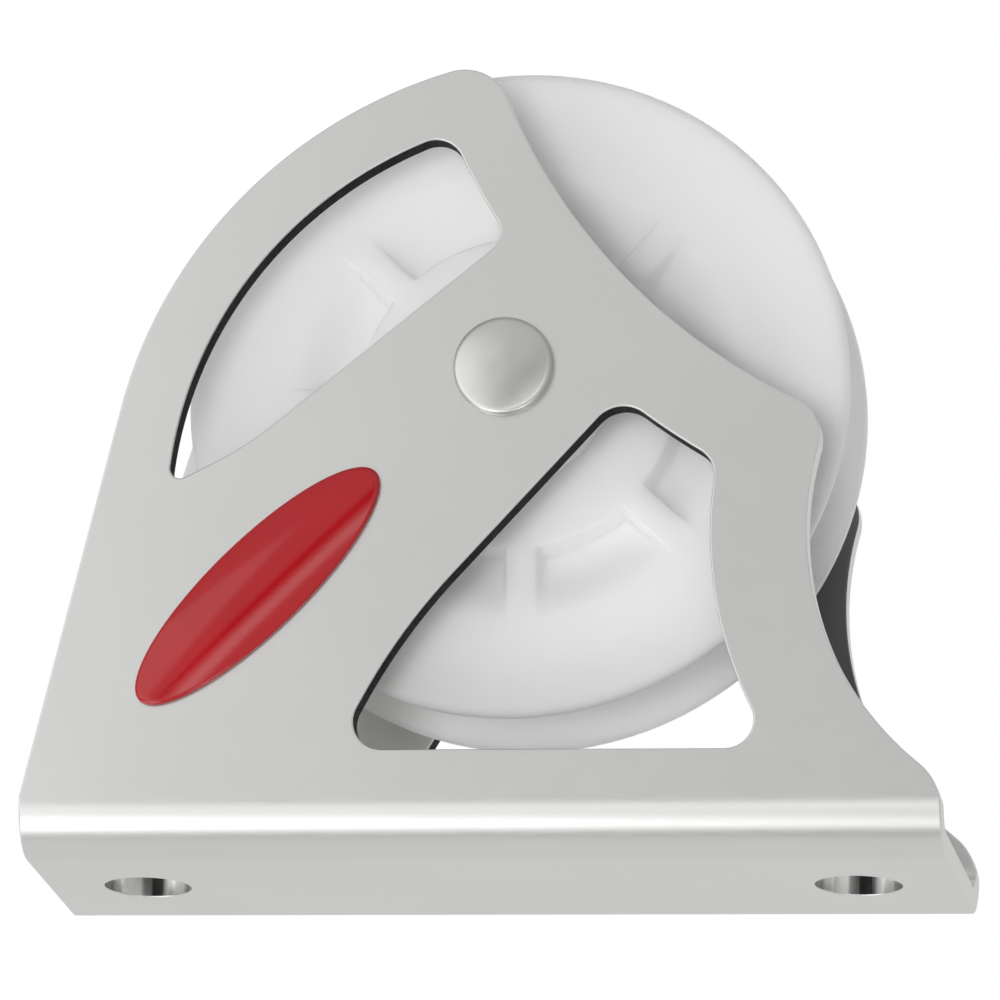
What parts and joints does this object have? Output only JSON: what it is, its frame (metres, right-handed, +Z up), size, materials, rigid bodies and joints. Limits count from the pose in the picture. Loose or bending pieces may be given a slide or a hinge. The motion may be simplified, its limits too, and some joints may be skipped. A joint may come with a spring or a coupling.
{
  "type": "stand-up block",
  "caption": "Upright deck block: a white grooved sheave turning between windowed steel cheeks that are folded up from a base plate with screw holes.",
  "frame": {"origin": "middle of the base plate's underside, where it lies on the deck", "axes": "+Z up from the deck, +X along the base to the lower, open end of the cheeks, -Y out of the cheek that carries the badge"},
  "size_m": [0.0686, 0.0286, 0.0616],
  "materials": {
    "frame_steel": "satin stainless sheet",
    "rivet_steel": "closed rivet head, smooth",
    "sheave_plastic": "white moulded plastic",
    "badge_red": "glossy red dome"
  },
  "bodies": {
    "stand": {"frame": "frame_steel", "axle_rivet": "rivet_steel", "badge": "badge_red"},
    "wheel": {"sheave": "sheave_plastic"}
  },
  "joints": [
    {"name": "sheave_spin", "type": "hinge", "parent": "stand", "child": "wheel", "pos_m": [0.0009, 0, 0.0366], "axis": [0, 1, 0], "continuous": true}
  ]
}
